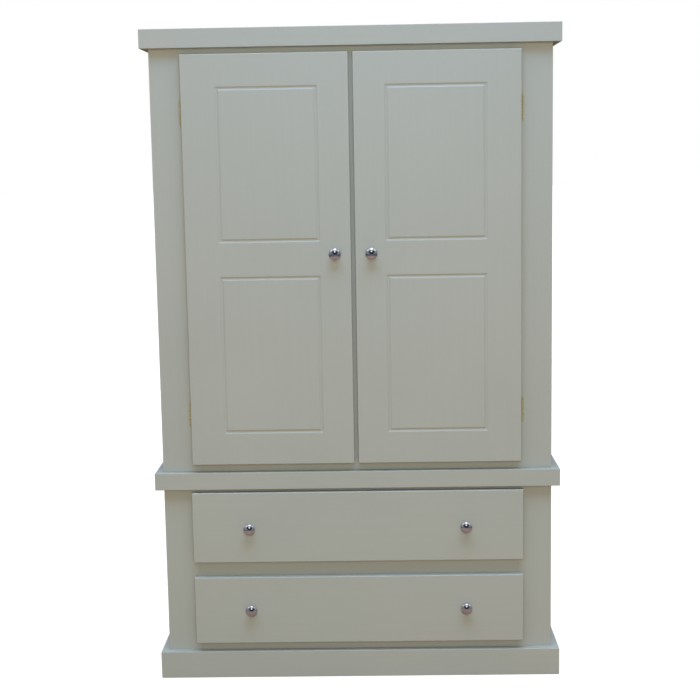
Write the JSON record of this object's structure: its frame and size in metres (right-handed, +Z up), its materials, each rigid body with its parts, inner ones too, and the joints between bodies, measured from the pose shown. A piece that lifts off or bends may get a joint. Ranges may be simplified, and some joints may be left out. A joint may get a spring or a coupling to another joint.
{
  "type": "armoire",
  "caption": "Painted armoire in two units: a hanging cupboard behind grooved lay-on doors, standing on a base of full-width drawers, with square bands and domed knobs.",
  "frame": {"origin": "on the floor under the middle of the whole object, knobs and back panels included", "axes": "+Z up, front faces -Y, +X to the right of someone facing the front"},
  "size_m": [1.144, 0.6152, 1.833],
  "materials": {
    "painted_wood": "satin grey paint",
    "bare_pine": "planed pine",
    "plywood": "sanded plywood",
    "chrome": "polished chrome plate",
    "brass": "aged brass",
    "steel": "zinc-plated steel",
    "catch_plastic": "moulded plastic"
  },
  "bodies": {
    "root": {"cornice_front": "painted_wood", "cornice_left": "painted_wood", "cornice_right": "painted_wood", "waist_front": "painted_wood", "waist_left": "painted_wood", "waist_right": "painted_wood", "plinth_front": "painted_wood", "plinth_left": "painted_wood", "plinth_right": "painted_wood", "upper_top_panel": "painted_wood", "upper_side_left": "painted_wood", "upper_side_right": "painted_wood", "upper_floor_panel": "painted_wood", "upper_stile_left": "painted_wood", "upper_stile_right": "painted_wood", "upper_top_rail": "painted_wood", "upper_bottom_rail": "painted_wood", "centre_post": "painted_wood", "base_top_panel": "painted_wood", "base_side_left": "painted_wood", "base_side_right": "painted_wood", "base_stile_left": "painted_wood", "base_stile_right": "painted_wood", "base_top_rail": "painted_wood", "drawer_divider_rail": "painted_wood", "base_bottom_rail": "painted_wood", "base_floor_panel": "bare_pine", "upper_back_panel": "plywood", "base_back_panel": "plywood", "hanging_rail": "chrome", "rail_sockets": "chrome", "frame_hinge_leaves": "brass", "hinge_pins": "brass", "frame_hinge_screws": "brass", "magnet_catches": "catch_plastic", "drawer_runners": "bare_pine", "back_panel_screws": "steel", "unit_connector_screws": "steel"},
    "door_left": {"door_left_panel": "painted_wood", "door_left_hinge_leaves": "brass", "door_left_screws": "brass", "door_left_knob": "chrome", "door_left_strike_plate": "steel"},
    "door_right": {"door_right_panel": "painted_wood", "door_right_hinge_leaves": "brass", "door_right_screws": "brass", "door_right_knob": "chrome", "door_right_strike_plate": "steel"},
    "upper_drawer": {"upper_drawer_front": "painted_wood", "upper_drawer_sides": "bare_pine", "upper_drawer_back": "bare_pine", "upper_drawer_bottom": "plywood", "upper_drawer_knobs": "chrome", "upper_drawer_knob_screws": "steel"},
    "lower_drawer": {"lower_drawer_front": "painted_wood", "lower_drawer_sides": "bare_pine", "lower_drawer_back": "bare_pine", "lower_drawer_bottom": "plywood", "lower_drawer_knobs": "chrome", "lower_drawer_knob_screws": "steel"}
  },
  "joints": [
    {"name": "door_left_hinge", "type": "hinge", "parent": "root", "child": "door_left", "pos_m": [-0.4678, -0.2557, 1.19225], "axis": [0, 0, -1], "range_deg": [0, 105]},
    {"name": "door_right_hinge", "type": "hinge", "parent": "root", "child": "door_right", "pos_m": [0.4678, -0.2557, 1.19225], "axis": [0, 0, 1], "range_deg": [0, 105]},
    {"name": "upper_drawer_slide", "type": "slide", "parent": "root", "child": "upper_drawer", "axis": [0, -1, 0], "range_m": [0, 0.36]},
    {"name": "lower_drawer_slide", "type": "slide", "parent": "root", "child": "lower_drawer", "axis": [0, -1, 0], "range_m": [0, 0.36]}
  ]
}
